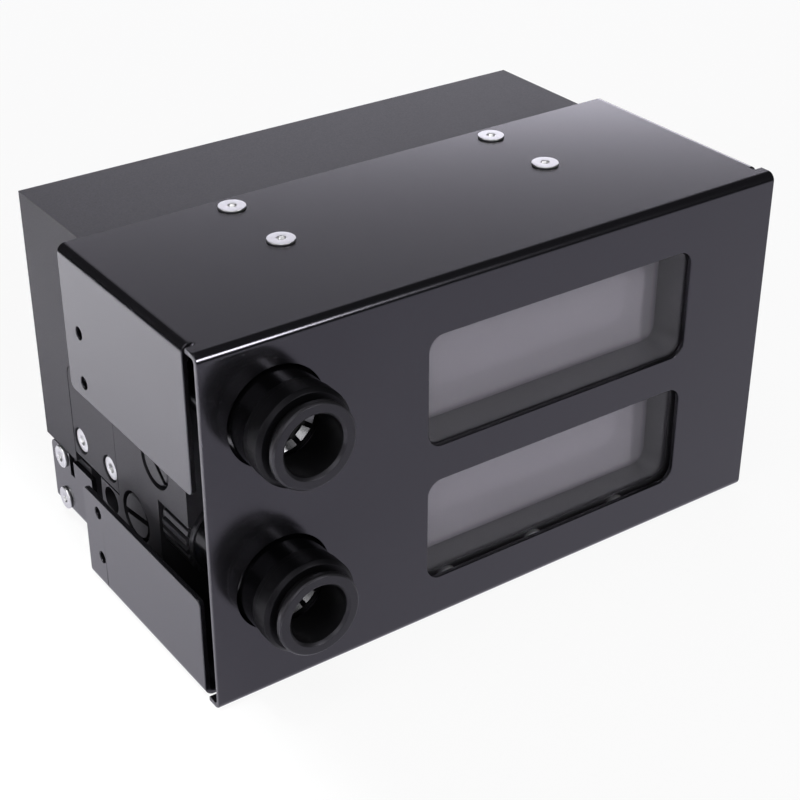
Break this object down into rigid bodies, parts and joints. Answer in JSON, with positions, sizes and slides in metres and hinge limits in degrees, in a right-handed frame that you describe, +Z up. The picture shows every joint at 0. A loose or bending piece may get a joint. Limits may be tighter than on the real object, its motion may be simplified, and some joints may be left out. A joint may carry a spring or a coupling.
{
  "type": "water cooling reservoir",
  "caption": "Boxy drive-bay coolant reservoir: folded black cover with sight windows over a machined tank, push-in tube fittings at the front and slotted plugs at the side.",
  "frame": {"origin": "middle of the cover's bottom plate, on its underside", "axes": "+X to the right seen from the front, +Y to the back, +Z up; the fittings point to -Y"},
  "size_m": [0.146, 0.1034, 0.0829],
  "materials": {
    "black_coat": "satin powder coat",
    "black_acetal": "fine machined satin",
    "satin_acrylic": "satin grey acrylic",
    "seal_rubber": "matte",
    "steel": "bright zinc or stainless",
    "gloss_black": "gloss",
    "collet_black": "satin moulded",
    "black_plating": "black plated, semi-gloss"
  },
  "bodies": {
    "reservoir": {"front_cover": "black_coat", "tank_body": "black_acetal", "upper_window_frame": "black_acetal", "lower_window_frame": "black_acetal", "upper_sight_glass": "satin_acrylic", "lower_sight_glass": "satin_acrylic", "upper_glass_seal": "seal_rubber", "lower_glass_seal": "seal_rubber", "upper_frame_screws": "steel", "lower_frame_screws": "steel", "extension_adapter": "black_plating", "extension_seal": "seal_rubber", "side_cover": "black_acetal", "side_cover_screws": "steel", "rear_bracket": "black_coat", "left_foot_block": "black_acetal", "right_foot_block": "black_acetal", "left_ear_screws": "steel", "right_ear_screws": "steel", "bracket_base_screws": "steel", "top_screws": "steel", "bottom_screws": "steel", "upper_fitting_body": "gloss_black", "upper_grip_ring": "steel", "upper_support_ring": "collet_black", "upper_tube_seal": "seal_rubber", "upper_seat_seal": "seal_rubber", "lower_fitting_body": "gloss_black", "lower_grip_ring": "steel", "lower_support_ring": "collet_black", "lower_tube_seal": "seal_rubber", "lower_seat_seal": "seal_rubber"},
    "upper_release_collet": {"upper_collet": "collet_black"},
    "upper_plug_ring": {"upper_plug_seal": "seal_rubber"},
    "upper_plug": {"upper_side_plug": "black_plating"},
    "lower_release_collet": {"lower_collet": "collet_black"},
    "lower_plug_ring": {"lower_plug_seal": "seal_rubber"},
    "lower_plug": {"lower_side_plug": "black_plating"}
  },
  "joints": [
    {"name": "upper_collet_push", "type": "slide", "parent": "reservoir", "child": "upper_release_collet", "axis": [0, 1, 0], "range_m": [0, 0.0014], "stiffness_N_per_m": 800},
    {"name": "upper_plug_travel", "type": "slide", "parent": "reservoir", "child": "upper_plug_ring", "axis": [-1, 0, 0], "range_m": [0, 0.003]},
    {"name": "upper_plug_turn", "type": "hinge", "parent": "upper_plug_ring", "child": "upper_plug", "pos_m": [-0.0668, 0.00435, 0.0404], "axis": [-1, 0, 0], "range_deg": [0, 1082]},
    {"name": "lower_collet_push", "type": "slide", "parent": "reservoir", "child": "lower_release_collet", "axis": [0, 1, 0], "range_m": [0, 0.0014], "stiffness_N_per_m": 800},
    {"name": "lower_plug_travel", "type": "slide", "parent": "reservoir", "child": "lower_plug_ring", "axis": [-1, 0, 0], "range_m": [0, 0.003]},
    {"name": "lower_plug_turn", "type": "hinge", "parent": "lower_plug_ring", "child": "lower_plug", "pos_m": [-0.0668, 0.01555, 0.0207], "axis": [-1, 0, 0], "range_deg": [0, 1082]}
  ],
  "couplings": [
    {"joint": "upper_plug_turn", "follows": "upper_plug_travel", "rad_per_m": 6283.2},
    {"joint": "lower_plug_turn", "follows": "lower_plug_travel", "rad_per_m": 6283.2}
  ]
}
